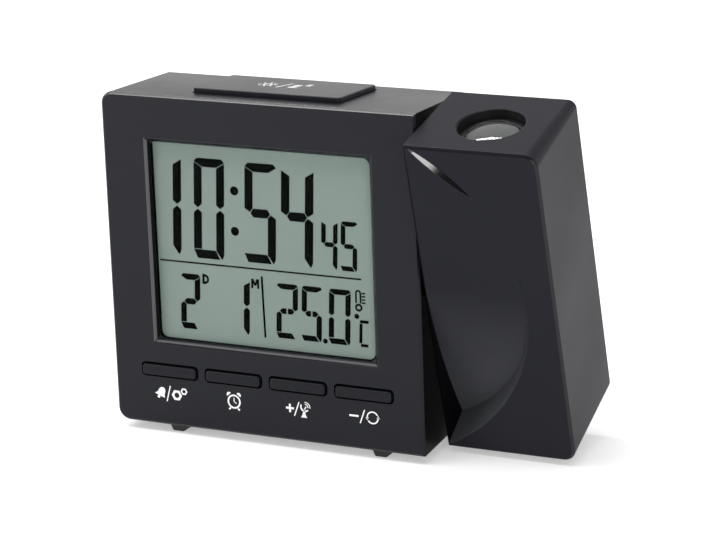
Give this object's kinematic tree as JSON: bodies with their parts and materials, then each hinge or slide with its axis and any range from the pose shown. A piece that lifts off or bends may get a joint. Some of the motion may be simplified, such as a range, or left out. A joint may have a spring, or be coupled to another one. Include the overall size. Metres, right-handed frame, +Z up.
{
  "type": "projection alarm clock",
  "caption": "Desktop projection alarm clock with a square display, keys, a snooze bar and a tilting projector arm whose lens points up.",
  "frame": {"origin": "on the table under the middle of the clock's bounding box, the arm leaning forward as shown", "axes": "+X to the right seen from the front, towards the projector arm; +Y from the display to the back; +Z up"},
  "size_m": [0.127, 0.053, 0.0936],
  "materials": {
    "case_plastic": "fine satin grain",
    "key_plastic": "satin",
    "window_clear": "polished clear acrylic",
    "lcd_glass": "grey-green liquid crystal",
    "guide_acrylic": "clear moulding",
    "frame_white": "white moulding",
    "rubber_black": "matt",
    "board_green": "solder resist",
    "steel_plated": "nickel plated",
    "spring_steel": "bare",
    "black_plastic": "smooth",
    "cell_jacket": "plain printed jacket",
    "cable_jacket": "satin",
    "lens_glass": "polished",
    "image_glass": "polished",
    "led_epoxy": "clear epoxy"
  },
  "bodies": {
    "clock": {"housing": "case_plastic", "back_cover": "case_plastic", "battery_upper": "cell_jacket", "battery_lower": "cell_jacket", "battery_springs": "steel_plated", "battery_plates": "steel_plated", "lcd_window": "window_clear", "lcd_panel": "lcd_glass", "light_guide": "guide_acrylic", "lcd_frame": "frame_white", "zebra_strip": "rubber_black", "main_board": "board_green", "clock_chip": "black_plastic", "board_screws": "steel_plated", "key_switches": "black_plastic", "snooze_switch": "black_plastic", "buzzer": "black_plastic", "dc_inlet": "black_plastic", "cover_screws": "steel_plated", "feet": "rubber_black", "hinge_bush": "black_plastic", "hinge_cable": "cable_jacket"},
    "arm": {"arm_shell": "case_plastic", "arm_back": "case_plastic", "arm_screws": "steel_plated", "hinge_axle": "black_plastic", "hinge_spring": "spring_steel", "hinge_clip": "spring_steel", "lens_barrel": "black_plastic", "projection_lens": "lens_glass", "image_lcd": "image_glass", "lamp_tube": "frame_white", "lamp_board": "board_green", "lamp_led": "led_epoxy", "arm_board": "board_green"},
    "bell_key": {"bell_key": "key_plastic"},
    "alarm_key": {"alarm_key": "key_plastic"},
    "plus_key": {"plus_key": "key_plastic"},
    "minus_key": {"minus_key": "key_plastic"},
    "snooze": {"snooze_bar": "key_plastic"},
    "battery_door": {"battery_door": "case_plastic"}
  },
  "joints": [
    {"name": "arm_tilt", "type": "hinge", "parent": "clock", "child": "arm", "pos_m": [0.0457, 0.00048, 0.0492], "axis": [1, 0, 0], "range_deg": [-105, 75]},
    {"name": "bell_key_press", "type": "slide", "parent": "clock", "child": "bell_key", "axis": [0, 1, 0], "range_m": [0, 0.0006], "stiffness_N_per_m": 900, "springref_m": -0.0003},
    {"name": "alarm_key_press", "type": "slide", "parent": "clock", "child": "alarm_key", "axis": [0, 1, 0], "range_m": [0, 0.0006], "stiffness_N_per_m": 900, "springref_m": -0.0003},
    {"name": "plus_key_press", "type": "slide", "parent": "clock", "child": "plus_key", "axis": [0, 1, 0], "range_m": [0, 0.0006], "stiffness_N_per_m": 900, "springref_m": -0.0003},
    {"name": "minus_key_press", "type": "slide", "parent": "clock", "child": "minus_key", "axis": [0, 1, 0], "range_m": [0, 0.0006], "stiffness_N_per_m": 900, "springref_m": -0.0003},
    {"name": "snooze_press", "type": "slide", "parent": "clock", "child": "snooze", "axis": [0, 0, -1], "range_m": [0, 0.0009], "stiffness_N_per_m": 900, "springref_m": -0.0005},
    {"name": "battery_door_hinge", "type": "hinge", "parent": "clock", "child": "battery_door", "pos_m": [-0.02165, 0.01603, 0.01495], "axis": [-1, 0, 0], "range_deg": [0, 85]}
  ]
}
